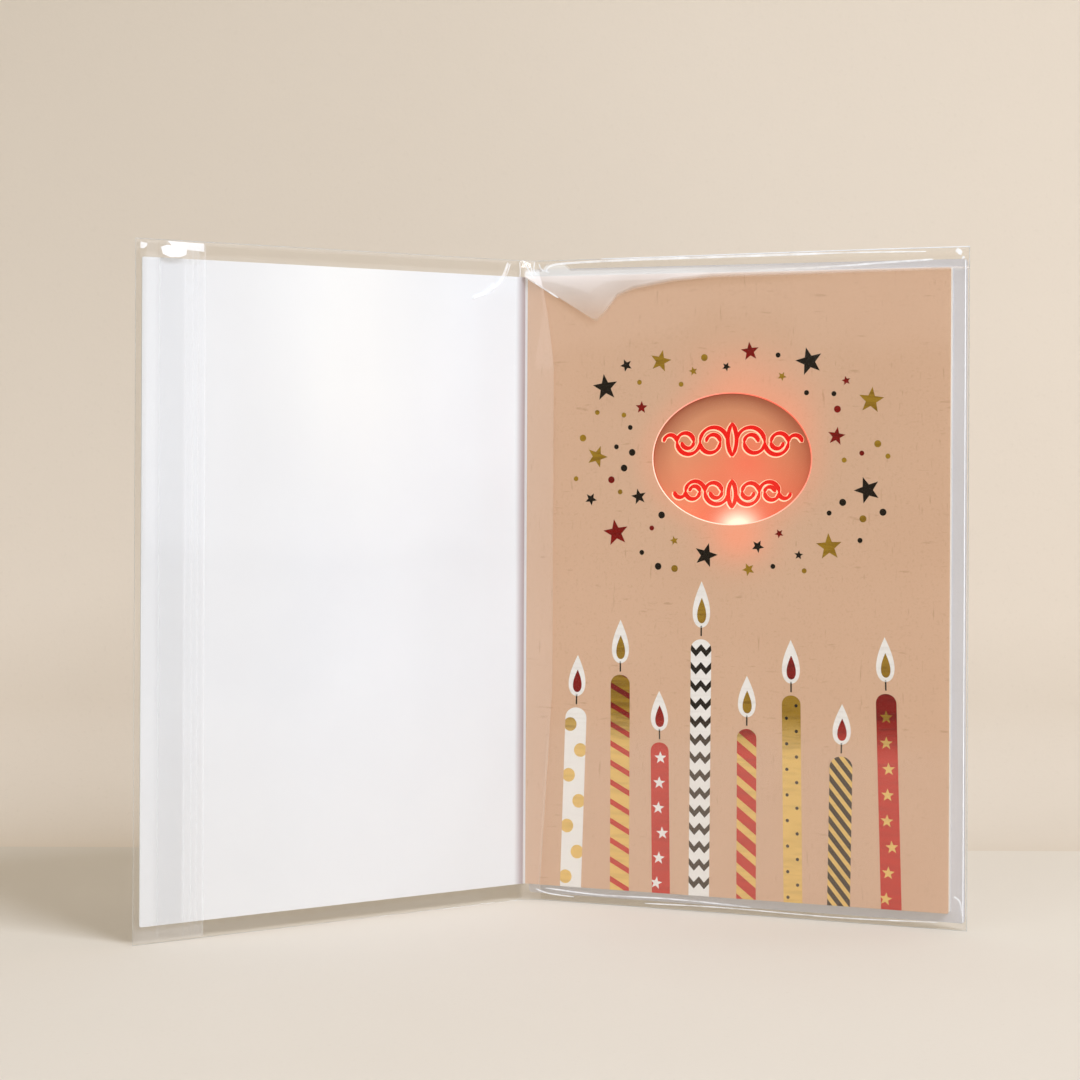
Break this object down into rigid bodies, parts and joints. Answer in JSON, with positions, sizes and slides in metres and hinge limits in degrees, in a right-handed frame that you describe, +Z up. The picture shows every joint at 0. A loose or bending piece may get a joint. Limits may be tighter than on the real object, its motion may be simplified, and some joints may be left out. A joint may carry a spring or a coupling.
{
  "type": "light-up greeting card",
  "caption": "Folded greeting card standing open in a clear film bag; the thick leaf holds a red lamp, an engraved light plate in an oval window, a cell and a fold switch.",
  "frame": {"origin": "foot of the card's fold, on the bottom edge of the film bag that the card stands on", "axes": "+Z up along the fold, -Y out of the opening along the line that halves it, +X to the viewer's right toward the thick leaf"},
  "size_m": [0.2268, 0.0673, 0.1873],
  "materials": {
    "white_card": "smooth coated card, white",
    "tan_card": "uncoated tan card with fine fibres, printed and foiled",
    "spacer_board": "white die-cut board",
    "clear_acrylic": "clear cast plate with an engraved ornament, lit red from its edge",
    "tan_paper": "plain tan paper",
    "foam_tape": "double-sided foam tape",
    "circuit_board": "green solder mask",
    "lamp_housing": "moulded white",
    "lamp_lens": "clear epoxy, lit red",
    "black_resin": "glossy drop",
    "resistor_body": "matt black",
    "cell_steel": "satin nickelled steel",
    "spring_strip": "bright sprung strip",
    "gold_pad": "gold flash",
    "rivet_brass": "bright",
    "solder": "bright solder",
    "red_insulation": "smooth",
    "black_insulation": "smooth",
    "clear_strip": "clear polyester strip",
    "guide_plastic": "white pressed plastic",
    "envelope_paper": "white wove paper",
    "clear_film": "clear glossy film",
    "adhesive": "clear adhesive strip"
  },
  "bodies": {
    "back": {"back_leaf": "white_card", "spacer_frame": "spacer_board", "printed_face": "tan_card", "backing_sheet": "tan_paper", "light_plate": "clear_acrylic", "plate_tape": "foam_tape", "led_board": "circuit_board", "led_housing": "lamp_housing", "led_lens": "lamp_lens", "control_board": "circuit_board", "coin_cell": "cell_steel", "cell_strap_positive": "spring_strip", "cell_strap_negative": "spring_strip", "chip_blob": "black_resin", "resistors": "resistor_body", "led_wire_positive": "red_insulation", "led_wire_negative": "black_insulation", "solder_joints": "solder", "contact_pad": "gold_pad", "contact_blade": "spring_strip", "blade_rivet": "rivet_brass", "tab_guide": "guide_plastic", "envelope_front": "envelope_paper", "envelope_back": "envelope_paper", "envelope_flap": "envelope_paper", "bag_front_right": "clear_film", "bag_back_right": "clear_film", "bag_spine_front": "clear_film", "bag_spine_back": "clear_film"},
    "cover": {"cover_leaf": "white_card", "bag_front_left": "clear_film", "bag_back_left": "clear_film"},
    "tab": {"tab_tongue": "clear_strip", "tab_tape": "foam_tape"},
    "flap": {"bag_flap": "clear_film", "flap_adhesive": "adhesive"}
  },
  "joints": [
    {"name": "cover_fold", "type": "hinge", "parent": "back", "child": "cover", "pos_m": [0, 0, 0], "axis": [0, 0, 1], "range_deg": [-60, 117], "deforming": ["bag_spine_front", "bag_spine_back"]},
    {"name": "tab_slide", "type": "slide", "parent": "back", "child": "tab", "axis": [0.866, -0.5, 0], "range_m": [-0.0027, 0.0052], "deforming": ["contact_blade"]},
    {"name": "flap_fold", "type": "hinge", "parent": "cover", "child": "flap", "pos_m": [-0.11157, -0.06456, 0.09365], "axis": [0, 0, -1], "range_deg": [0, 175]}
  ],
  "couplings": [
    {"joint": "tab_slide", "follows": "cover_fold", "m_per_rad": 0.0025}
  ]
}
